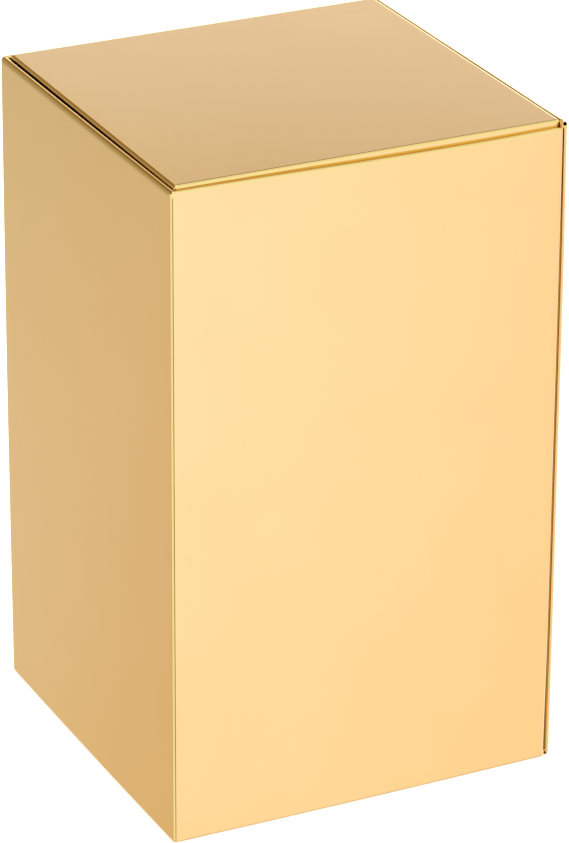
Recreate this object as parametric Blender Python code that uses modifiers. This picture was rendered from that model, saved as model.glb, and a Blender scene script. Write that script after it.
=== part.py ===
"""A cremation urn: a tall square box folded from polished bronze sheet, closed by a lift-off pan lid.

Metres, +Z up. The origin is on the surface the urn stands on, under its middle. The plain front faces -Y.
One sheet makes all four walls: it is folded at three corners and closed by a seam at the front right corner.
Its top and bottom edges are folded back inside as rounded hems, and each hem ends in a narrow ledge.
The lid drops between the top hems and stands on the upper ledge. The base pan fits the bottom hems the same way.
"""

import math

import bmesh
import bpy

# Walls
WIDTH = 0.128
DEPTH = 0.124
HEIGHT = 0.2095
SHEET = 0.0008
FOLD_RADIUS = 0.0012

# Hems along the top and bottom edges of the walls
HEM_DEPTH = 0.0080
HEM_CORNER_RADIUS = 0.0005
CREST_FLAT = 0.0001
LEDGE_WIDTH = 0.0035

# Front rim, which sags from the left corner towards the right
RIM_SAG = 0.0011
SAG_LENGTH = 0.0920
SAG_STEP = 0.0002

# Closing seam at the front right corner: a groove between the front panel and the edge of the right wall
SEAM_GAP = 0.0004
SEAM_EDGE = 0.0014
SEAM_DEPTH = 0.0012
SEAM_BACKING = 0.0008
PANEL_EDGE_RADIUS = 0.0007
WALL_EDGE_RADIUS = 0.0006
EAR_RISE = 0.0009
NOTCH_TOP = 0.0013
NOTCH_BOTTOM = 0.0012
NOTCH_DEPTH = 0.0010

# Lid, which is pushed forward in its pocket, and base pan
LID_RISE = 0.0010
LID_GAP = 0.0006
LID_FORWARD = 0.0003
BASE_GAP = 0.0003
PAN_BEND_RADIUS = 0.0010
PAN_CORNER_RADIUS = 0.0012
SEAT_GAP = 0.0003

# Facets
FOLD_SEGMENTS = 4
SAG_SEGMENTS = 8
CUTTER_MARGIN = 0.002
NEAR = 0.00001
WELD = 0.000001

HEM_WIDTH = 2 * SHEET
CREST_RADIUS = (HEM_WIDTH - CREST_FLAT) / 2
FRONT = -DEPTH / 2
RIGHT = WIDTH / 2


def clear_scene():
    for old in list(bpy.data.objects):
        bpy.data.objects.remove(old, do_unlink=True)


def new_collection(name):
    collection = bpy.data.collections.new(name)
    bpy.context.scene.collection.children.link(collection)
    return collection


def new_object(name, bm, collection):
    bmesh.ops.recalc_face_normals(bm, faces=bm.faces)
    mesh = bpy.data.meshes.new(name)
    bm.to_mesh(mesh)
    bm.free()
    made = bpy.data.objects.new(name, mesh)
    collection.objects.link(made)
    return made


def metal(name, colour, roughness):
    material = bpy.data.materials.new(name)
    material.use_nodes = True
    shader = material.node_tree.nodes["Principled BSDF"]
    shader.inputs["Base Color"].default_value = (*colour, 1.0)
    shader.inputs["Metallic"].default_value = 1.0
    shader.inputs["Roughness"].default_value = roughness
    return material


def box(low, high):
    bm = bmesh.new()
    bmesh.ops.create_cube(bm, size=1.0)
    for vert in bm.verts:
        vert.co = [a + (c + 0.5) * (b - a) for a, b, c in zip(low, high, vert.co)]
    return bm


def square_box(inset, low, high):
    """A box that stands this far inside the outer faces of the walls."""
    x = WIDTH / 2 - inset
    y = DEPTH / 2 - inset
    return box((-x, -y, low), (x, y, high))


def round_edges(bm, edges, radius):
    bmesh.ops.bevel(
        bm,
        geom=edges,
        offset=radius,
        offset_type="OFFSET",
        segments=FOLD_SEGMENTS,
        profile=0.5,
        affect="EDGES",
    )


def is_upright(edge):
    a, b = (vert.co for vert in edge.verts)
    return abs(a.z - b.z) > NEAR and (a.xy - b.xy).length < NEAR


def is_level(edge, height):
    return all(abs(vert.co.z - height) < NEAR for vert in edge.verts)


def is_seam_corner(edge):
    return all(vert.co.x > 0 and vert.co.y < 0 for vert in edge.verts)


def add_cutter(cutters, name, bm):
    cutter = new_object(name, bm, cutters)
    cutter.hide_render = True
    cutter.display_type = "WIRE"
    return cutter


def combine(target, tool, operation):
    """The Boolean of two objects, put into the first one's mesh with its doubled corners welded."""
    modifier = target.modifiers.new(tool.name, "BOOLEAN")
    modifier.operation = operation
    modifier.object = tool
    modifier.solver = "EXACT"
    graph = bpy.context.evaluated_depsgraph_get()
    result = bpy.data.meshes.new_from_object(target.evaluated_get(graph))
    target.modifiers.clear()
    bm = bmesh.new()
    bm.from_mesh(result)
    bmesh.ops.remove_doubles(bm, verts=bm.verts, dist=WELD)
    bmesh.ops.dissolve_degenerate(bm, dist=WELD, edges=bm.edges)
    bm.to_mesh(target.data)
    bm.free()
    bpy.data.meshes.remove(result)


def wall_block():
    """The solid block that the walls are cut from, with its three folds and the outer side of its hems rounded."""
    bm = square_box(0.0, 0.0, HEIGHT)
    folds = [edge for edge in bm.edges if is_upright(edge) and not is_seam_corner(edge)]
    round_edges(bm, folds, FOLD_RADIUS)
    crests = [edge for edge in bm.edges if is_level(edge, 0.0) or is_level(edge, HEIGHT)]
    round_edges(bm, crests, CREST_RADIUS)
    return bm


def pocket(low, high):
    """The space inside one hem."""
    bm = square_box(HEM_WIDTH, low, high)
    round_edges(bm, [edge for edge in bm.edges if is_upright(edge)], HEM_CORNER_RADIUS)
    return bm


def seam_post():
    """The front panel's inner flange and its solder, which back the groove of the seam."""
    widest = SEAM_EDGE + SEAM_GAP + SEAM_BACKING
    low = (RIGHT - widest, FRONT + SHEET / 2, HEM_DEPTH + SHEET / 2)
    high = (RIGHT - SHEET / 2, FRONT + SEAM_DEPTH + SEAM_BACKING, HEIGHT - HEM_DEPTH - SHEET / 2)
    return box(low, high)


def arc(centre, radius, start, end):
    """Points of a level arc, with its angles in degrees."""
    angles = [math.radians(start + (end - start) * i / FOLD_SEGMENTS) for i in range(FOLD_SEGMENTS + 1)]
    return [(centre[0] + radius * math.cos(a), centre[1] + radius * math.sin(a)) for a in angles]


def seam_outline():
    """Plan of what is cut away at the seam: the groove, its rounded mouth and the wall edge's rounded corner."""
    groove_right = RIGHT - SEAM_EDGE
    groove_left = groove_right - SEAM_GAP
    panel_centre = (groove_left - PANEL_EDGE_RADIUS, FRONT + PANEL_EDGE_RADIUS)
    edge_y = FRONT + WALL_EDGE_RADIUS
    outside_x = RIGHT + CUTTER_MARGIN
    outside_y = FRONT - CUTTER_MARGIN
    points = [(groove_left, FRONT + SEAM_DEPTH)]
    points += arc(panel_centre, PANEL_EDGE_RADIUS, 0, -90)
    points += [(panel_centre[0], outside_y), (outside_x, outside_y), (outside_x, edge_y)]
    points += arc((RIGHT - WALL_EDGE_RADIUS, edge_y), WALL_EDGE_RADIUS, 0, -90)
    points += arc((groove_right + WALL_EDGE_RADIUS, edge_y), WALL_EDGE_RADIUS, -90, -180)
    points += [(groove_right, FRONT + SEAM_DEPTH)]
    return points


def seam_cutter():
    """The seam's plan, drawn out past both ends of the walls."""
    bm = bmesh.new()
    foot = bm.faces.new([bm.verts.new((x, y, -CUTTER_MARGIN)) for x, y in seam_outline()])
    drawn = bmesh.ops.extrude_face_region(bm, geom=[foot])["geom"]
    for vert in drawn:
        if isinstance(vert, bmesh.types.BMVert):
            vert.co.z = HEIGHT + EAR_RISE + CUTTER_MARGIN
    return bm


def seam_notch(low, high):
    """The step where the right wall's edge stops short of a hem."""
    left = RIGHT - SEAM_EDGE - SEAM_GAP / 2
    return box(
        (left, FRONT - CUTTER_MARGIN, low), (RIGHT + CUTTER_MARGIN, FRONT + NOTCH_DEPTH, high)
    )


def ear():
    """The stub of the front panel's inner flange, which stands above the front rim beside the seam."""
    right = RIGHT - SEAM_EDGE
    left = right - SEAM_GAP - SHEET
    return box((left, FRONT, HEIGHT - HEM_DEPTH / 2), (right, FRONT + HEM_WIDTH, HEIGHT + EAR_RISE))


def round_inner_crests(bm):
    """Rounds the inner side of both hems, so that each crest is a full round."""
    inner_x = WIDTH / 2 - HEM_WIDTH
    inner_y = DEPTH / 2 - HEM_WIDTH
    edges = []
    for edge in bm.edges:
        inside = all(
            abs(vert.co.x) < inner_x + NEAR and abs(vert.co.y) < inner_y + NEAR for vert in edge.verts
        )
        if inside and (is_level(edge, 0.0) or is_level(edge, HEIGHT)):
            edges.append(edge)
    round_edges(bm, edges, CREST_RADIUS)


def sag_at(x, end):
    """How far the crest of the front rim has sunk at x. It stays up from the end of the rim on."""
    if x > end + SAG_STEP / 2:
        return 0.0
    share = min((x + WIDTH / 2) / SAG_LENGTH, 1.0)
    return RIM_SAG * share * share * (3 - 2 * share)


def sag_front_rim(bm):
    end = RIGHT - SEAM_EDGE - SEAM_GAP - SHEET - SAG_STEP
    cuts = [SAG_LENGTH * i / SAG_SEGMENTS - WIDTH / 2 for i in range(1, SAG_SEGMENTS + 1)]
    cuts += [end, end + SAG_STEP]
    for x in cuts:
        everything = bm.verts[:] + bm.edges[:] + bm.faces[:]
        bmesh.ops.bisect_plane(bm, geom=everything, dist=NEAR / 10, plane_co=(x, 0, 0), plane_no=(1, 0, 0))
    for vert in bm.verts:
        on_front = vert.co.y < FRONT + HEM_WIDTH + NEAR
        if on_front and vert.co.z > HEIGHT - CREST_RADIUS - NEAR:
            vert.co.z -= sag_at(vert.co.x, end)


def make_shell(parts, cutters, material):
    shell = new_object("body_shell", wall_block(), parts)
    upper_ledge = HEIGHT - HEM_DEPTH
    hollows = {
        "cavity_cutter": square_box(SHEET, HEM_DEPTH + SHEET, upper_ledge - SHEET),
        "lid_pocket_cutter": pocket(upper_ledge, HEIGHT + CUTTER_MARGIN),
        "base_pocket_cutter": pocket(-CUTTER_MARGIN, HEM_DEPTH),
        "mouth_cutter": square_box(HEM_WIDTH + LEDGE_WIDTH, -CUTTER_MARGIN, HEIGHT + CUTTER_MARGIN),
    }
    for name, bm in hollows.items():
        combine(shell, add_cutter(cutters, name, bm), "DIFFERENCE")
    bm = bmesh.new()
    bm.from_mesh(shell.data)
    round_inner_crests(bm)
    sag_front_rim(bm)
    bm.to_mesh(shell.data)
    bm.free()
    for name, bm in {"seam_post": seam_post(), "ear_block": ear()}.items():
        combine(shell, add_cutter(cutters, name, bm), "UNION")
    seam = {
        "seam_cutter": seam_cutter(),
        "top_notch_cutter": seam_notch(HEIGHT - NOTCH_TOP, HEIGHT + CUTTER_MARGIN),
        "bottom_notch_cutter": seam_notch(-CUTTER_MARGIN, NOTCH_BOTTOM),
    }
    for name, bm in seam.items():
        combine(shell, add_cutter(cutters, name, bm), "DIFFERENCE")
    finish(shell, material)


def make_pan(name, gap, forward, face, rim, parts, material):
    """A shallow pan between the hems: its flat face at one height, its skirts ending at the other."""
    bm = square_box(HEM_WIDTH + gap, min(face, rim), max(face, rim))
    round_edges(bm, [edge for edge in bm.edges if is_upright(edge)], PAN_CORNER_RADIUS)
    round_edges(bm, [edge for edge in bm.edges if is_level(edge, face)], PAN_BEND_RADIUS)
    open_side = [f for f in bm.faces if all(abs(vert.co.z - rim) < NEAR for vert in f.verts)]
    bmesh.ops.delete(bm, geom=open_side, context="FACES")
    bmesh.ops.translate(bm, verts=bm.verts, vec=(0, -forward, 0))
    pan = new_object(name, bm, parts)
    thicken = pan.modifiers.new("sheet", "SOLIDIFY")
    thicken.thickness = SHEET
    thicken.offset = -1.0
    thicken.use_even_offset = True
    finish(pan, material)


def finish(piece, material):
    piece.data.materials.clear()
    piece.data.materials.append(material)
    piece.data.shade_smooth()
    piece.data.set_sharp_from_angle(angle=math.radians(30))


def main():
    clear_scene()
    parts = new_collection("cremation_urn")
    cutters = new_collection("cutters")
    wall_finish = metal("polished_bronze_walls", (0.93, 0.64, 0.27), 0.10)
    lid_finish = metal("polished_bronze_lid", (0.88, 0.62, 0.30), 0.12)
    base_finish = metal("satin_bronze_base", (0.72, 0.49, 0.22), 0.35)
    make_shell(parts, cutters, wall_finish)
    lid_rim = HEIGHT - HEM_DEPTH + SEAT_GAP
    make_pan("top_lid", LID_GAP, LID_FORWARD, HEIGHT + LID_RISE, lid_rim, parts, lid_finish)
    make_pan("base_pan", BASE_GAP, 0.0, 0.0, HEM_DEPTH - SEAT_GAP, parts, base_finish)


main()
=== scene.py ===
"""The looks of the cremation urn: polished bronze sheet, its studio and its camera.

Metres, +Z up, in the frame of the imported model. Each CAD node is replaced by a finer piece of about the same
overall size: smooth bends and crests, the front rim's sag, the faint waves of thin sheet, and the open ends of
the hems. The closing seam's gap and roundings and the gap round the lid differ a little from the CAD model's.
"""

import math

import bmesh
import bpy
from mathutils import Matrix, Vector, noise

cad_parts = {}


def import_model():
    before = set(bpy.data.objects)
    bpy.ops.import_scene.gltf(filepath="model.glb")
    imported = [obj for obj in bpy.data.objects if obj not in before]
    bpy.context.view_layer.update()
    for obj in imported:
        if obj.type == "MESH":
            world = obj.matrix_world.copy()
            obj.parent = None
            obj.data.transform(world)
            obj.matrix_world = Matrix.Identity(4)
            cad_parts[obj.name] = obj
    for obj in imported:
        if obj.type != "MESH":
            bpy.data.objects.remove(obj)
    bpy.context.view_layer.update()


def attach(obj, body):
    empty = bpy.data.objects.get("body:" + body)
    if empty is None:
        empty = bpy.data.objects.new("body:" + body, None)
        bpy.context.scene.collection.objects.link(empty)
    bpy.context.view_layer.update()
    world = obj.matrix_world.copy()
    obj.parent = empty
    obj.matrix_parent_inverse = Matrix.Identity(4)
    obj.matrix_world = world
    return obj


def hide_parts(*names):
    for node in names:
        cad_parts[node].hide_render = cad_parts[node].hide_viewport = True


# Walls, as in the CAD model
WIDTH = 0.128
DEPTH = 0.124
HEIGHT = 0.2095
SHEET = 0.0008
FOLD_RADIUS = 0.0012
HEM_DEPTH = 0.0080
HEM_WIDTH = 2 * SHEET
HEM_CORNER_RADIUS = 0.0005
CREST_RADIUS = 0.00075
LEDGE_WIDTH = 0.0035

# Closing seam at the front right corner: a groove between the front panel and the right wall's edge strip
SEAM_GAP = 0.0003
SEAM_EDGE = 0.0014
SEAM_DEPTH = 0.0012
SEAM_BACKING = 0.0008
PANEL_EDGE_RADIUS = 0.0010
WALL_EDGE_RADIUS = 0.00105
STRIP_EDGE_RADIUS = 0.0003
# How much wider the groove is at its foot, and the height where it is even again
SEAM_OPEN = 0.0003
SEAM_OPEN_HEIGHT = 0.040
# Height up to which the groove's faces take the dull dark material, as painted shade at the groove's foot
GROOVE_SHADE_HEIGHT = 0.030
# Ear of the front panel above the rim, and the notches at both ends of the strip
EAR_WIDTH = 0.00065
EAR_RISE = 0.0009
NOTCH_TOP = 0.0013
NOTCH_BOTTOM = 0.0012
NOTCH_DEPTH = 0.0010
# Hollow between the two layers of the right hem, open in the notches
HOLLOW_LIP = 0.0002
HOLLOW_INNER_LIP = 0.0001
HOLLOW_DROP = 0.0021
HOLLOW_DEPTH = 0.0060

# Lid and base pan
LID_RISE = 0.0010
LID_GAP = 0.0005
LID_FORWARD = 0.0003
BASE_GAP = 0.0003
PAN_BEND_RADIUS = 0.0010
PAN_CORNER_RADIUS = 0.0012
SEAT_GAP = 0.0003
# How much narrower the lid is on each side at the back, and wider at the front
LID_TAPER = 0.0002

# Crest of the front rim, in mm: distance from the left corner, and height from HEIGHT
RIM_LINE = [
    (0, 0.0), (8, 0.0), (20, -0.10), (36, -0.33), (44, -0.48),
    (59, -0.76), (75, -0.94), (92, -1.08), (108, -1.08), (125, -0.85),
]

# Outward bulge of the walls at their foot, and the share of it that is lost up to the rim
FRONT_BULGE = 0.0005
SIDE_BULGE = 0.0003
BULGE_LOSS = 0.6
# Outward bow at mid height, of the right side and of the back left fold
SEAM_BOW = 0.00035
FOLD_BOW = 0.0002
# Spread of the right side at its foot, none from mid height up
SEAM_SPLAY = 0.0005
# Backward spread of the back left corner, full up to mid height and none at the rim
BACK_SPLAY = 0.0006
# Inward lean of the left hem's crest, and the height over which it grows
HEM_LEAN = 0.00012
HEM_LEAN_HEIGHT = 0.0020
# Rise of the right rim towards the seam, with a steeper flare at its end
RIM_LIFT = 0.0002
RIM_FLARE = 0.0005
RIM_LIFT_LENGTH = 0.085
# Inward pull of the right wall at the seam's top, and how far back and down it reaches
RIM_PULL = 0.00025
RIM_PULL_LENGTH = 0.025
RIM_PULL_HEIGHT = 0.040
# Faint waves of thin sheet, and where in the noise each sheet reads its own
WAVE_HEIGHT = 0.00003
WAVE_LENGTH = 0.045
FRONT_WAVES = 3
BACK_WAVES = 7
LEFT_WAVES = 11
RIGHT_WAVES = 15
PAN_WAVES = 21

# Facets, with the angle in degrees, and the small distances that keep cuts clear of faces
BEND_SEGMENTS = 8
HEM_LEAN_STEPS = 6
FLOOR_SEGMENTS = 64
SHARP_ANGLE = 35
GRID = 0.004
CUTTER_MARGIN = 0.002
NEAR = 0.00001
CUT_CLEARANCE = NEAR * 10
WELD = 0.000001

FRONT = -DEPTH / 2
RIGHT = WIDTH / 2
GROOVE_RIGHT = RIGHT - SEAM_EDGE
GROOVE_LEFT = GROOVE_RIGHT - SEAM_GAP
EAR_LEFT = GROOVE_LEFT - EAR_WIDTH

# Rolling lines of the bronze sheet: their width, the noise's scale upwards as a share of that across, and their
# depth
LINE_SIZE = 0.0006
LINE_STRETCH = 0.02
LINE_DEPTH = 0.00001
# Patches of uneven polish: their size, the noise values between which they change, and their roughness and tint
PATCH_SIZE = 0.030
PATCH_LOW = 0.3
PATCH_HIGH = 0.7
PATCH_SMOOTHER = 0.8
PATCH_ROUGHER = 1.25
PATCH_TINT = (0.985, 0.96, 0.92)
LACQUER_ROUGHNESS = 0.04

# Camera: angles in radians, distances in metres from the middle of the walls, lens in mm
CAMERA_AZIMUTH = -0.454842
CAMERA_ELEVATION = 0.428412
CAMERA_ROLL = 0.005952
CAMERA_DISTANCE = 1.38829
CAMERA_RIGHT = 0.002045
CAMERA_UP = -0.003475
CAMERA_NEAREST = 0.1
CAMERA_FARTHEST = 50.0
LENS_MM = 193.2
SENSOR_MM = 36.0

# Radius and height of the floor's profile, which starts a little below the urn's foot so that the two don't mix
FLOOR_DROP = 0.0002
FLOOR_PROFILE = [
    (0.001, -FLOOR_DROP), (1.0, -FLOOR_DROP), (3.0, 0.0), (4.0, 0.15), (4.8, 0.7), (5.2, 1.6), (5.3, 6.0),
]

# Lamp over the floor: place, size, power and the point that it faces
SOFTBOX_PLACE = (0.25, -0.35, 1.6)
SOFTBOX_SIZE = 1.6
SOFTBOX_POWER = 30.0
SOFTBOX_TARGET = (0, 0, 0.1)


def linear(code):
    """The linear colour of an sRGB hex code."""
    parts = [int(code[i : i + 2], 16) / 255 for i in (1, 3, 5)]
    return tuple(p / 12.92 if p <= 0.04045 else ((p + 0.055) / 1.055) ** 2.4 for p in parts)


def node(tree, kind, inputs=None, **settings):
    """A new node with these settings, and its inputs set to values or linked to sockets."""
    made = tree.nodes.new(kind)
    for key, value in settings.items():
        setattr(made, key, value)
    for key, value in (inputs or {}).items():
        if isinstance(value, bpy.types.NodeSocket):
            tree.links.new(value, made.inputs[key])
        else:
            made.inputs[key].default_value = value
    return made


def new_object(name, bm):
    """An object made of this mesh, in the scene, with its faces turned outwards."""
    bmesh.ops.recalc_face_normals(bm, faces=bm.faces)
    mesh = bpy.data.meshes.new(name)
    bm.to_mesh(mesh)
    bm.free()
    made = bpy.data.objects.new(name, mesh)
    bpy.context.scene.collection.objects.link(made)
    return made


def box(low, high):
    """A box between two opposite corners."""
    bm = bmesh.new()
    bmesh.ops.create_cube(bm, size=1.0)
    for vert in bm.verts:
        vert.co = [a + (c + 0.5) * (b - a) for a, b, c in zip(low, high, vert.co)]
    return bm


def square_box(inset, low, high):
    """A box that stands this far inside the outer faces of the walls."""
    x = WIDTH / 2 - inset
    y = DEPTH / 2 - inset
    return box((-x, -y, low), (x, y, high))


def round_edges(bm, edges, radius):
    """Rounds these edges to a quarter circle each."""
    bmesh.ops.bevel(
        bm,
        geom=edges,
        offset=radius,
        offset_type="OFFSET",
        segments=BEND_SEGMENTS,
        profile=0.5,
        affect="EDGES",
    )


def is_upright(edge):
    """Whether the edge stands straight up."""
    a, b = (vert.co for vert in edge.verts)
    return abs(a.z - b.z) > NEAR and (a.xy - b.xy).length < NEAR


def is_level(edge, height):
    """Whether the whole edge lies at this height."""
    return all(abs(vert.co.z - height) < NEAR for vert in edge.verts)


def is_seam_corner(edge):
    """Whether the edge is at the front right, where the seam takes the place of a bend."""
    return all(vert.co.x > 0 and vert.co.y < 0 for vert in edge.verts)


def combine(target, bm, operation):
    """The Boolean of an object and a mesh, put into the object with its doubled corners welded."""
    tool = new_object("tool", bm)
    modifier = target.modifiers.new("cut", "BOOLEAN")
    modifier.operation = operation
    modifier.object = tool
    modifier.solver = "EXACT"
    graph = bpy.context.evaluated_depsgraph_get()
    result = bpy.data.meshes.new_from_object(target.evaluated_get(graph))
    target.modifiers.clear()
    bpy.data.objects.remove(tool, do_unlink=True)
    bm = bmesh.new()
    bm.from_mesh(result)
    bmesh.ops.remove_doubles(bm, verts=bm.verts, dist=WELD)
    bmesh.ops.dissolve_degenerate(bm, dist=WELD, edges=bm.edges)
    bm.to_mesh(target.data)
    bm.free()
    bpy.data.meshes.remove(result)


def wall_block():
    """The walls' outer form, with its three bends and the outer half of its crests."""
    bm = square_box(0.0, 0.0, HEIGHT)
    bends = [edge for edge in bm.edges if is_upright(edge) and not is_seam_corner(edge)]
    round_edges(bm, bends, FOLD_RADIUS)
    crests = [edge for edge in bm.edges if is_level(edge, 0.0) or is_level(edge, HEIGHT)]
    round_edges(bm, crests, CREST_RADIUS)
    return bm


def pocket(low, high):
    """The space inside one hem."""
    bm = square_box(HEM_WIDTH, low, high)
    round_edges(bm, [edge for edge in bm.edges if is_upright(edge)], HEM_CORNER_RADIUS)
    return bm


def seam_post():
    """The sheet behind the groove, which closes the seam."""
    widest = SEAM_EDGE + SEAM_GAP + SEAM_BACKING
    low = (RIGHT - widest, FRONT + SHEET / 2, HEM_DEPTH + SHEET / 2)
    high = (RIGHT - SHEET / 2, FRONT + SEAM_DEPTH + SEAM_BACKING, HEIGHT - HEM_DEPTH - SHEET / 2)
    return box(low, high)


def arc(centre, radius, start, end):
    """Points along an arc, between two angles in degrees."""
    angles = [math.radians(start + (end - start) * i / BEND_SEGMENTS) for i in range(BEND_SEGMENTS + 1)]
    return [(centre[0] + radius * math.cos(a), centre[1] + radius * math.sin(a)) for a in angles]


def seam_outline():
    """Plan of what is cut away at the seam: the groove, its rounded mouth and the strip's rounded corner."""
    panel_centre = (GROOVE_LEFT - PANEL_EDGE_RADIUS, FRONT + PANEL_EDGE_RADIUS)
    edge_y = FRONT + WALL_EDGE_RADIUS
    outside_x = RIGHT + CUTTER_MARGIN
    outside_y = FRONT - CUTTER_MARGIN
    points = [(GROOVE_LEFT, FRONT + SEAM_DEPTH)]
    points += arc(panel_centre, PANEL_EDGE_RADIUS, 0, -90)
    points += [(panel_centre[0], outside_y), (outside_x, outside_y), (outside_x, edge_y)]
    points += arc((RIGHT - WALL_EDGE_RADIUS, edge_y), WALL_EDGE_RADIUS, 0, -90)
    strip_centre = (GROOVE_RIGHT + STRIP_EDGE_RADIUS, FRONT + STRIP_EDGE_RADIUS)
    points += arc(strip_centre, STRIP_EDGE_RADIUS, -90, -180)
    points += [(GROOVE_RIGHT, FRONT + SEAM_DEPTH)]
    return points


def seam_cutter():
    """The seam's plan, drawn out past both ends of the walls."""
    bm = bmesh.new()
    foot = bm.faces.new([bm.verts.new((x, y, -CUTTER_MARGIN)) for x, y in seam_outline()])
    drawn = bmesh.ops.extrude_face_region(bm, geom=[foot])["geom"]
    for vert in drawn:
        if isinstance(vert, bmesh.types.BMVert):
            vert.co.z = HEIGHT + EAR_RISE + CUTTER_MARGIN
    return bm


def seam_notch(low, high):
    """What is cut off one end of the strip."""
    left = GROOVE_RIGHT - SEAM_GAP / 2
    return box((left, FRONT - CUTTER_MARGIN, low), (RIGHT + CUTTER_MARGIN, FRONT + NOTCH_DEPTH, high))


def hem_hollow(low, high):
    """The open end of the right hem, a hollow between the two layers of sheet that is round at its top."""
    front = FRONT + NOTCH_DEPTH - NEAR
    inner = RIGHT - HEM_WIDTH + HOLLOW_INNER_LIP
    bm = box((inner, front, low), (RIGHT - HOLLOW_LIP, front + HOLLOW_DEPTH, high))
    top = []
    for edge in bm.edges:
        a, b = edge.verts
        if is_level(edge, high) and abs(a.co.x - b.co.x) < NEAR:
            top.append(edge)
    round_edges(bm, top, CREST_RADIUS - HOLLOW_LIP)
    return bm


def ear():
    """The corner of the front panel that stands above the rim beside the seam."""
    low = (EAR_LEFT, FRONT, HEIGHT - HEM_DEPTH / 2)
    return box(low, (GROOVE_RIGHT, FRONT + HEM_WIDTH, HEIGHT + EAR_RISE))


def round_inner_crests(bm):
    """Rounds the inner half of the crests, at the rim and at the foot."""
    inner_x = WIDTH / 2 - HEM_WIDTH
    inner_y = DEPTH / 2 - HEM_WIDTH
    edges = []
    for edge in bm.edges:
        inside = all(abs(v.co.x) < inner_x + NEAR and abs(v.co.y) < inner_y + NEAR for v in edge.verts)
        if inside and (is_level(edge, 0.0) or is_level(edge, HEIGHT)):
            edges.append(edge)
    round_edges(bm, edges, CREST_RADIUS)


def cut_grid(bm, axis, start, end, step=GRID):
    """Cuts the mesh across one axis at even steps, so that it can bend."""
    steps = max(1, round((end - start) / step))
    normal = Vector((0, 0, 0))
    normal[axis] = 1.0
    for i in range(steps + 1):
        everything = bm.verts[:] + bm.edges[:] + bm.faces[:]
        place = normal * (start + (end - start) * i / steps)
        bmesh.ops.bisect_plane(bm, geom=everything, dist=NEAR / 10, plane_co=place, plane_no=normal)


def along(line, x):
    """The height at x of the line through these points."""
    if x <= line[0][0]:
        return line[0][1]
    for (x0, y0), (x1, y1) in zip(line, line[1:]):
        if x <= x1:
            share = (x - x0) / (x1 - x0)
            return y0 + (y1 - y0) * share
    return line[-1][1]


def sag_front_rim(bm):
    """Lowers the front rim's crest along its line, up to a step that the ear hides."""
    for vert in bm.verts:
        on_front = vert.co.y < FRONT + HEM_WIDTH + NEAR and vert.co.x < EAR_LEFT + SHEET / 2 - NEAR
        if on_front and vert.co.z > HEIGHT - CREST_RADIUS - NEAR:
            vert.co.z += along(RIM_LINE, (vert.co.x + RIGHT) * 1000) / 1000


def wave(point, seed):
    """The height of thin sheet's faint waves at a point, between -1 and 1."""
    return noise.noise(point / WAVE_LENGTH + Vector((seed, 0, 0)))


def bend_walls(bm):
    """Lets each wall bulge and wave a little, with its two skins together."""
    for vert in bm.verts:
        x, y, z = vert.co
        low = 1 - BULGE_LOSS * z / HEIGHT
        across_x = max(0.0, 1 - (2 * x / WIDTH) ** 2)
        across_y = max(0.0, 1 - (2 * y / DEPTH) ** 2)
        skin = HEM_WIDTH + NEAR
        flat = Vector((x, y, z))
        if y < FRONT + skin and x < GROOVE_LEFT:
            vert.co.y -= across_x * (FRONT_BULGE * low + WAVE_HEIGHT * wave(flat, FRONT_WAVES))
        if y > -FRONT - skin:
            vert.co.y += across_x * (SIDE_BULGE * low + WAVE_HEIGHT * wave(flat, BACK_WAVES))
        if x < skin - RIGHT:
            vert.co.x -= across_y * (SIDE_BULGE * low + WAVE_HEIGHT * wave(flat, LEFT_WAVES))
        if x > RIGHT - skin:
            vert.co.x += across_y * (SIDE_BULGE * low + WAVE_HEIGHT * wave(flat, RIGHT_WAVES))
        if x > 0:
            vert.co.x += SEAM_SPLAY * max(0.0, 1 - 2 * z / HEIGHT) * (x / RIGHT) ** 2
        if x < 0 and y > 0:
            fade = min(1.0, 2 - 2 * z / HEIGHT)
            vert.co.y += BACK_SPLAY * fade * (x / RIGHT) ** 2 * (2 * y / DEPTH) ** 2
        climb = max(0.0, 1 - (HEIGHT - CREST_RADIUS - z) / HEM_LEAN_HEIGHT)
        lean = HEM_LEAN * (climb**3 if climb < 1 else 3 * climb - 2)
        if x < skin - RIGHT:
            vert.co.x += lean
        if GROOVE_LEFT - PANEL_EDGE_RADIUS < x < GROOVE_LEFT + NEAR and y < FRONT + SEAM_DEPTH + NEAR:
            vert.co.x -= SEAM_OPEN * max(0.0, 1 - z / SEAM_OPEN_HEIGHT)
        if x > RIGHT - skin:
            near_front = max(0.0, 1 - (y - FRONT) / RIM_PULL_LENGTH) ** 2
            vert.co.x -= RIM_PULL * near_front * max(0.0, 1 - (HEIGHT - z) / RIM_PULL_HEIGHT)
            if y > FRONT + NOTCH_DEPTH - NEAR * 2 and z > HEIGHT - HOLLOW_DROP + NEAR:
                rise = max(0.0, 1 - ((y - FRONT) / RIM_LIFT_LENGTH) ** 2)
                vert.co.z += RIM_LIFT * rise + RIM_FLARE * near_front
        arch = 4 * (z / HEIGHT) * (1 - z / HEIGHT)
        vert.co.x += arch * SEAM_BOW * max(0.0, x / RIGHT) ** 2
        vert.co.x -= arch * FOLD_BOW * max(0.0, -x / RIGHT) ** 2 * (0.5 + y / DEPTH)


def shade(piece, materials):
    """Gives a piece its materials and smooth shading that stays crisp at real edges."""
    piece.data.materials.clear()
    for material in materials:
        piece.data.materials.append(material)
    piece.data.shade_smooth()
    piece.data.set_sharp_from_angle(angle=math.radians(SHARP_ANGLE))
    even = piece.modifiers.new("even_normals", "WEIGHTED_NORMAL")
    even.keep_sharp = True
    even.weight = 100


def inset_of(point):
    """How far a point is inside the outer faces of the walls."""
    return min(WIDTH / 2 - abs(point.x), DEPTH / 2 - abs(point.y))


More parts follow.
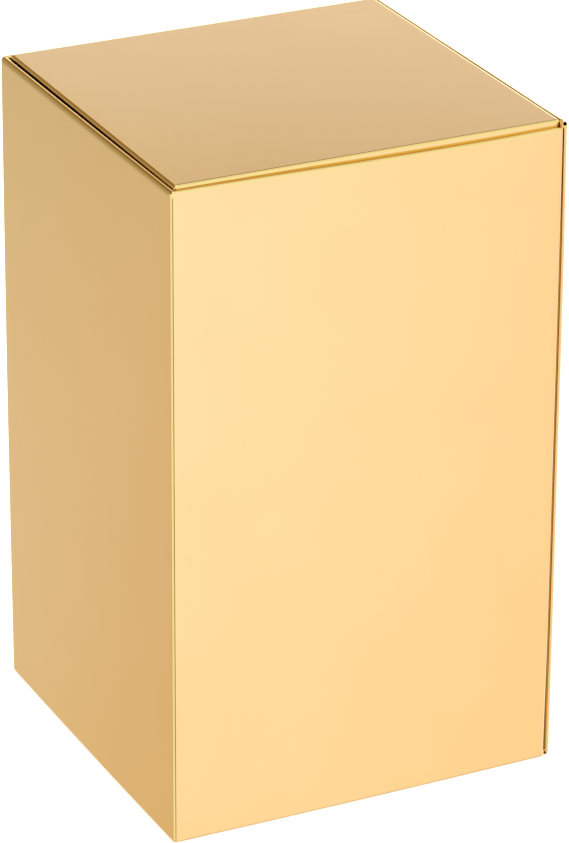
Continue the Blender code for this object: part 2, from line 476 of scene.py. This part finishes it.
def is_hollow_face(centre):
    """Whether a face is inside one of the right hem's open ends."""
    behind_notch = FRONT + NOTCH_DEPTH + NEAR < centre.y < FRONT + NOTCH_DEPTH + HOLLOW_DEPTH + NEAR
    between_lips = RIGHT - HEM_WIDTH + HOLLOW_INNER_LIP - NEAR < centre.x < RIGHT - HOLLOW_LIP + NEAR
    from_end = min(centre.z, HEIGHT - centre.z)
    return behind_notch and between_lips and HOLLOW_LIP - NEAR < from_end < HOLLOW_DROP + NEAR


def is_painted_shade_groove_face(centre):
    """Low in the closing seam, whose faces take the dull dark material as painted shade."""
    in_groove = GROOVE_LEFT - NEAR < centre.x < GROOVE_RIGHT + NEAR
    deep = FRONT + SHEET < centre.y < FRONT + SEAM_DEPTH + NEAR
    return in_groove and deep and centre.z < GROOVE_SHADE_HEIGHT


def is_dull_or_shaded_wall_face(centre):
    """Whether a face of the walls takes the dull dark material, which paints shade into the gaps: faces never
    polished, the hem ends and the groove's foot.
    """
    if is_hollow_face(centre) or is_painted_shade_groove_face(centre):
        return True
    in_cavity = HEM_DEPTH - NEAR < centre.z < HEIGHT - HEM_DEPTH + NEAR
    if in_cavity:
        return inset_of(centre) > SHEET - NEAR
    return inset_of(centre) > HEM_WIDTH - NEAR


def make_walls(polished, inside):
    """The walls with their hems, ledges and closing seam."""
    walls = new_object("urn_walls", wall_block())
    upper_ledge = HEIGHT - HEM_DEPTH
    combine(walls, square_box(SHEET, HEM_DEPTH + SHEET, upper_ledge - SHEET), "DIFFERENCE")
    combine(walls, pocket(upper_ledge, HEIGHT + CUTTER_MARGIN), "DIFFERENCE")
    combine(walls, pocket(-CUTTER_MARGIN, HEM_DEPTH), "DIFFERENCE")
    mouth = square_box(HEM_WIDTH + LEDGE_WIDTH, -CUTTER_MARGIN, HEIGHT + CUTTER_MARGIN)
    combine(walls, mouth, "DIFFERENCE")
    bm = bmesh.new()
    bm.from_mesh(walls.data)
    round_inner_crests(bm)
    cut_grid(bm, 0, -RIGHT + HEM_WIDTH + LEDGE_WIDTH + GRID, RIGHT - HEM_WIDTH - LEDGE_WIDTH - CUT_CLEARANCE)
    cut_grid(bm, 0, EAR_LEFT + SHEET / 4, EAR_LEFT + SHEET / 2)
    sag_front_rim(bm)
    bm.to_mesh(walls.data)
    bm.free()
    combine(walls, seam_post(), "UNION")
    combine(walls, ear(), "UNION")
    combine(walls, seam_cutter(), "DIFFERENCE")
    combine(walls, seam_notch(HEIGHT - NOTCH_TOP, HEIGHT + CUTTER_MARGIN), "DIFFERENCE")
    combine(walls, seam_notch(-CUTTER_MARGIN, NOTCH_BOTTOM), "DIFFERENCE")
    combine(walls, hem_hollow(HEIGHT - HOLLOW_DROP, HEIGHT - HOLLOW_LIP), "DIFFERENCE")
    combine(walls, hem_hollow(HOLLOW_LIP, HOLLOW_DROP), "DIFFERENCE")
    bm = bmesh.new()
    bm.from_mesh(walls.data)
    cut_grid(bm, 1, FRONT + HEM_WIDTH + LEDGE_WIDTH + GRID, -FRONT - HEM_WIDTH - LEDGE_WIDTH - GRID)
    cut_grid(bm, 2, HEM_DEPTH + GRID, HEIGHT - HEM_DEPTH - GRID)
    crest = HEIGHT - CREST_RADIUS
    cut_grid(bm, 2, crest - HEM_LEAN_HEIGHT, crest - CUT_CLEARANCE, HEM_LEAN_HEIGHT / HEM_LEAN_STEPS)
    for face in bm.faces:
        # Faces never polished, the hem ends and the groove's foot take the dull dark material: painted shade in
        # the gaps
        face.material_index = int(is_dull_or_shaded_wall_face(face.calc_center_median()))
    bend_walls(bm)
    bm.to_mesh(walls.data)
    bm.free()
    shade(walls, [polished, inside])
    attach(walls, "root")
    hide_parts("body_shell")


def make_pan(name, replaced, gap, forward, face, rim, taper, materials):
    """A shallow pan between the hems: its flat face at one height, its skirts ending at the other."""
    bm = square_box(HEM_WIDTH + gap, min(face, rim), max(face, rim))
    round_edges(bm, [edge for edge in bm.edges if is_upright(edge)], PAN_CORNER_RADIUS)
    round_edges(bm, [edge for edge in bm.edges if is_level(edge, face)], PAN_BEND_RADIUS)
    open_side = [f for f in bm.faces if all(abs(vert.co.z - rim) < NEAR for vert in f.verts)]
    bmesh.ops.delete(bm, geom=open_side, context="FACES")
    reach = RIGHT - HEM_WIDTH - PAN_CORNER_RADIUS - GRID
    cut_grid(bm, 0, -reach, reach)
    # These cuts cover only the middle of the depth, so the waves hardly vary from front to back
    cut_grid(bm, 1, FRONT + reach, -FRONT - reach)
    for vert in bm.verts:
        x, y, z = vert.co
        crown = max(0.0, 1 - (2 * x / WIDTH) ** 2) * max(0.0, 1 - (2 * y / DEPTH) ** 2)
        if abs(z - face) < NEAR:
            height = crown * WAVE_HEIGHT * wave(Vector((x, y, z)), PAN_WAVES)
            vert.co.z += math.copysign(height, face - rim)
        vert.co.x -= math.copysign(taper, x) * (2 * y / DEPTH)
        vert.co.y -= forward
    pan = new_object(name, bm)
    thicken = pan.modifiers.new("sheet", "SOLIDIFY")
    thicken.thickness = SHEET
    thicken.offset = -1.0
    thicken.use_even_offset = True
    thicken.material_offset = 1
    thicken.material_offset_rim = 1
    shade(pan, materials)
    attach(pan, "root")
    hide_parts(replaced)


def bronze(name, colour, roughness, streak, lacquer):
    """Bronze sheet with fine rolling lines up the sheet and slightly uneven polish."""
    material = bpy.data.materials.new(name)
    material.use_nodes = True
    tree = material.node_tree
    shader = tree.nodes["Principled BSDF"]
    place = node(tree, "ShaderNodeTexCoord").outputs["Object"]
    stretched = node(tree, "ShaderNodeMapping", {"Vector": place, "Scale": (1.0, 1.0, LINE_STRETCH)})
    lines = node(
        tree, "ShaderNodeTexNoise", {"Vector": stretched.outputs[0], "Scale": 1 / LINE_SIZE, "Detail": 2.0}
    )
    clouds = node(tree, "ShaderNodeTexNoise", {"Vector": place, "Scale": 1 / PATCH_SIZE, "Detail": 3.0})
    polish = node(
        tree,
        "ShaderNodeMapRange",
        {
            "Value": clouds.outputs[0],
            "From Min": PATCH_LOW,
            "From Max": PATCH_HIGH,
            "To Min": roughness * PATCH_SMOOTHER,
            "To Max": roughness * PATCH_ROUGHER,
        },
    )
    warm = linear(colour)
    deep = tuple(c * s for c, s in zip(warm, PATCH_TINT))
    tint = node(
        tree,
        "ShaderNodeMix",
        {"Factor": clouds.outputs[0], 6: (*warm, 1.0), 7: (*deep, 1.0)},
        data_type="RGBA",
    )
    bump = node(
        tree,
        "ShaderNodeBump",
        {"Height": lines.outputs[0], "Strength": streak, "Distance": LINE_DEPTH},
    )
    tree.links.new(tint.outputs[2], shader.inputs["Base Color"])
    tree.links.new(polish.outputs[0], shader.inputs["Roughness"])
    tree.links.new(bump.outputs[0], shader.inputs["Normal"])
    shader.inputs["Metallic"].default_value = 1.0
    shader.inputs["Coat Weight"].default_value = lacquer
    shader.inputs["Coat Roughness"].default_value = LACQUER_ROUGHNESS
    return material


# Elevation in degrees, colour and strength of what the metal mirrors all round the studio
SKY = [
    (-90, "#ffd2a6", 0.078),
    (-60, "#ffedda", 0.731),
    (-30, "#ffecd8", 1.111),
    (0, "#fff5e9", 1.185),
    (15, "#fff2e5", 1.058),
    (19, "#fff2ef", 0.883),
    (20.5, "#fff2ef", 0.815),
    (21.2, "#ffeee1", 0.778),
    (22.5, "#ffe8cb", 0.656),
    (27, "#ffdea8", 0.461),
    (33, "#ffcf7e", 0.257),
    (54, "#ffcf7e", 0.257),
    (61, "#fff2e1", 1.164),
    (90, "#fff6ef", 1.27),
]

# Soft patches of light laid over the sky, each over the ones before it: name, azimuth and elevation of the
# middle, half width, half height and softness in degrees, colour and strength. Azimuth 0 is +Y, and 90 is +X.
PANELS = [
    ("tall softbox in front", 150, 30, 100, 60, 12, "#f7ffeb", 1.2),
    ("table in front", 154, -20, 50, 20, 10, "#fcf6ff", 1.26),
    ("warmer table in front on the right", 130, -25, 20, 60, 9, "#ffe8d8", 1.143),
    ("warmer table near the urn in front", 160, -58, 60, 28, 8, "#ffe8d4", 1.143),
    ("table behind on the left", -30, -36, 45, 22, 9, "#ffe3c5", 0.782),
    ("cooler table behind", 0, -34, 24, 22, 5, "#fff0df", 0.836),
    ("warm table close behind on the left", -45, -52, 60, 22, 5, "#ffdea5", 0.825),
    ("dark room on the left", -62, 26, 52, 24, 18, "#ffcf72", 0.3),
    ("bright strip on the right", 84, -24, 40, 9, 5, "#cdd6ff", 2.0),
    ("olive edge of the table on the right", 127, -25, 5, 30, 5, "#ffe0b0", 0.92),
    ("window behind", 17, 27, 7, 4.5, 2, "#fff2d0", 0.95),
    ("upper edge of the softbox on the right", 105, 60, 43, 14, 4, "#f9ffe7", 1.0),
    ("window low behind", 27, -1, 12, 17.5, 1.5, "#fffaf5", 2.3),
    ("room beside the camera", -105, -24, 20, 20, 10, "#feffed", 1.06),
    ("edge of the table behind on the left", -28, -15, 16, 6, 4, "#fff1d9", 0.68),
    ("camera and its stand", -152, -25.5, 12, 6, 3, "#ffffcc", 0.28),
    ("dark edge of the table behind on the left", -28, -6, 16, 10, 3, "#ffeaba", 0.45),
]

# Strength of the whole studio. The colours are divided by it, which keeps the sky's below 1 in its ramp.
STUDIO_STRENGTH = 1.3


def studio():
    """The studio that the metal mirrors, by direction."""
    world = bpy.data.worlds.new("studio")
    bpy.context.scene.world = world
    world.use_nodes = True
    tree = world.node_tree
    tree.nodes.clear()
    direction = node(tree, "ShaderNodeTexCoord").outputs["Generated"]
    split = node(tree, "ShaderNodeSeparateXYZ", {0: direction})
    azimuth = node(
        tree, "ShaderNodeMath", {0: split.outputs[0], 1: split.outputs[1]}, operation="ARCTAN2"
    ).outputs[0]
    elevation = node(tree, "ShaderNodeMath", {0: split.outputs[2]}, operation="ARCSINE").outputs[0]
    share = node(
        tree,
        "ShaderNodeMapRange",
        {"Value": elevation, "From Min": -math.pi / 2, "From Max": math.pi / 2, "To Min": 0.0, "To Max": 1.0},
    )
    ramp = node(tree, "ShaderNodeValToRGB", {0: share.outputs[0]})
    while len(ramp.color_ramp.elements) < len(SKY):
        ramp.color_ramp.elements.new(0.5)
    for element, (angle, colour, strength) in zip(ramp.color_ramp.elements, SKY):
        element.position = (angle + 90) / 180
        element.color = (*(c * strength / STUDIO_STRENGTH for c in linear(colour)), 1.0)
    light = ramp.outputs[0]
    for name, turn, rise, half_width, half_height, soft, colour, strength in PANELS:
        masks = []
        for angle, middle, half in ((azimuth, turn, half_width), (elevation, rise, half_height)):
            off = node(tree, "ShaderNodeMath", {0: angle, 1: math.radians(middle)}, operation="SUBTRACT")
            turned = node(
                tree, "ShaderNodeMath", {0: off.outputs[0], 1: -math.pi, 2: math.pi}, operation="WRAP"
            )
            away = node(tree, "ShaderNodeMath", {0: turned.outputs[0]}, operation="ABSOLUTE")
            mask = node(
                tree,
                "ShaderNodeMapRange",
                {
                    "Value": away.outputs[0],
                    "From Min": math.radians(half + soft),
                    "From Max": math.radians(half - soft),
                },
                interpolation_type="SMOOTHSTEP",
            )
            masks.append(mask.outputs[0])
        both = node(tree, "ShaderNodeMath", {0: masks[0], 1: masks[1]}, operation="MULTIPLY", label=name)
        shown = tuple(c * strength / STUDIO_STRENGTH for c in linear(colour))
        mixed = node(
            tree, "ShaderNodeMix", {"Factor": both.outputs[0], 6: light, 7: (*shown, 1.0)}, data_type="RGBA"
        )
        light = mixed.outputs[2]
    background = node(tree, "ShaderNodeBackground", {"Color": light, "Strength": STUDIO_STRENGTH})
    node(tree, "ShaderNodeOutputWorld", {0: background.outputs[0]})


def make_floor():
    """A pale floor that sweeps up all round into a backdrop."""
    bm = bmesh.new()
    rings = []
    for radius, height in FLOOR_PROFILE:
        angles = [math.tau * i / FLOOR_SEGMENTS for i in range(FLOOR_SEGMENTS)]
        rings.append([bm.verts.new((radius * math.cos(a), radius * math.sin(a), height)) for a in angles])
    for low, high in zip(rings, rings[1:]):
        for i in range(FLOOR_SEGMENTS):
            j = (i + 1) % FLOOR_SEGMENTS
            bm.faces.new((low[i], low[j], high[j], high[i]))
    bm.faces.new(rings[0])
    floor = new_object("floor", bm)
    floor.data.shade_smooth()
    # Matt white paper, slightly lit from within: an even, nearly shadowless white with hardly any shine
    material = bpy.data.materials.new("white_matt_paper_sweep")
    material.use_nodes = True
    shader = material.node_tree.nodes["Principled BSDF"]
    shader.inputs["Base Color"].default_value = (*linear("#f4f4f2"), 1.0)
    shader.inputs["Roughness"].default_value = 0.9
    shader.inputs["Specular IOR Level"].default_value = 0.1
    shader.inputs["Emission Color"].default_value = (*linear("#ffffff"), 1.0)
    shader.inputs["Emission Strength"].default_value = 0.35
    floor.data.materials.append(material)
    floor.visible_glossy = False


def softbox(name, place, size, power):
    """A lamp that lights the floor only; the studio already holds what the metal mirrors."""
    light = bpy.data.lights.new(name, "AREA")
    light.shape = "SQUARE"
    light.size = size
    light.energy = power
    lamp = bpy.data.objects.new(name, light)
    lamp.location = place
    lamp.rotation_mode = "QUATERNION"
    lamp.rotation_quaternion = (Vector(place) - Vector(SOFTBOX_TARGET)).to_track_quat("Z", "Y")
    lamp.visible_glossy = False
    bpy.context.scene.collection.objects.link(lamp)


def make_camera():
    """The photograph's camera, turned and shifted to match the urn's edges."""
    data = bpy.data.cameras.new("camera")
    data.sensor_fit = "VERTICAL"
    data.sensor_height = SENSOR_MM
    data.sensor_width = SENSOR_MM
    data.lens = LENS_MM
    data.clip_start = CAMERA_NEAREST
    data.clip_end = CAMERA_FARTHEST
    camera = bpy.data.objects.new("camera", data)
    bpy.context.scene.collection.objects.link(camera)
    az, el, roll = CAMERA_AZIMUTH, CAMERA_ELEVATION, CAMERA_ROLL
    back = Vector((math.sin(az) * math.cos(el), -math.cos(az) * math.cos(el), math.sin(el)))
    right = Vector((math.cos(az), math.sin(az), 0.0))
    up = back.cross(right)
    turned_right = right * math.cos(roll) + up * math.sin(roll)
    turned_up = up * math.cos(roll) - right * math.sin(roll)
    middle = Vector((0, 0, HEIGHT / 2))
    place = middle + back * CAMERA_DISTANCE + turned_right * CAMERA_RIGHT + turned_up * CAMERA_UP
    turn = Matrix((turned_right, turned_up, back)).transposed()
    camera.matrix_world = Matrix.Translation(place) @ turn.to_4x4()
    bpy.context.scene.camera = camera


def main():
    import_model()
    make_camera()
    studio()
    make_floor()
    softbox("overhead_softbox", SOFTBOX_PLACE, SOFTBOX_SIZE, SOFTBOX_POWER)
    bpy.context.scene.view_settings.view_transform = "Standard"
    # Mirror-polished bronze under thin lacquer: clear reflections in warm gold, with faint upright lines
    walls_metal = bronze("mirror_polished_bronze_walls", "#f1d69a", 0.07, 0.10, 0.1)
    # The same polish, a little softer: the lid mirrors the room with slightly blurred edges
    lid_metal = bronze("mirror_polished_bronze_lid", "#f1d69a", 0.08, 0.10, 0.1)
    # Dull brown bronze for the faces never polished, its darkness painted shade that keeps gaps, hem ends and
    # the inside dark
    inside_and_shade_metal = bronze("dull_bronze_inside_painted_shade", "#8a6030", 0.38, 0.3, 0.0)
    # Satin bronze: a wide, soft sheen without clear reflections, plainer than the walls
    base_metal = bronze("satin_bronze_base", "#d8b378", 0.30, 0.25, 0.0)
    make_walls(walls_metal, inside_and_shade_metal)
    make_pan(
        "urn_lid", "top_lid", LID_GAP, LID_FORWARD, HEIGHT + LID_RISE,
        HEIGHT - HEM_DEPTH + SEAT_GAP, LID_TAPER, [lid_metal, inside_and_shade_metal],
    )
    make_pan(
        "urn_base", "base_pan", BASE_GAP, 0.0, 0.0,
        HEM_DEPTH - SEAT_GAP, 0.0, [base_metal, inside_and_shade_metal],
    )


main()
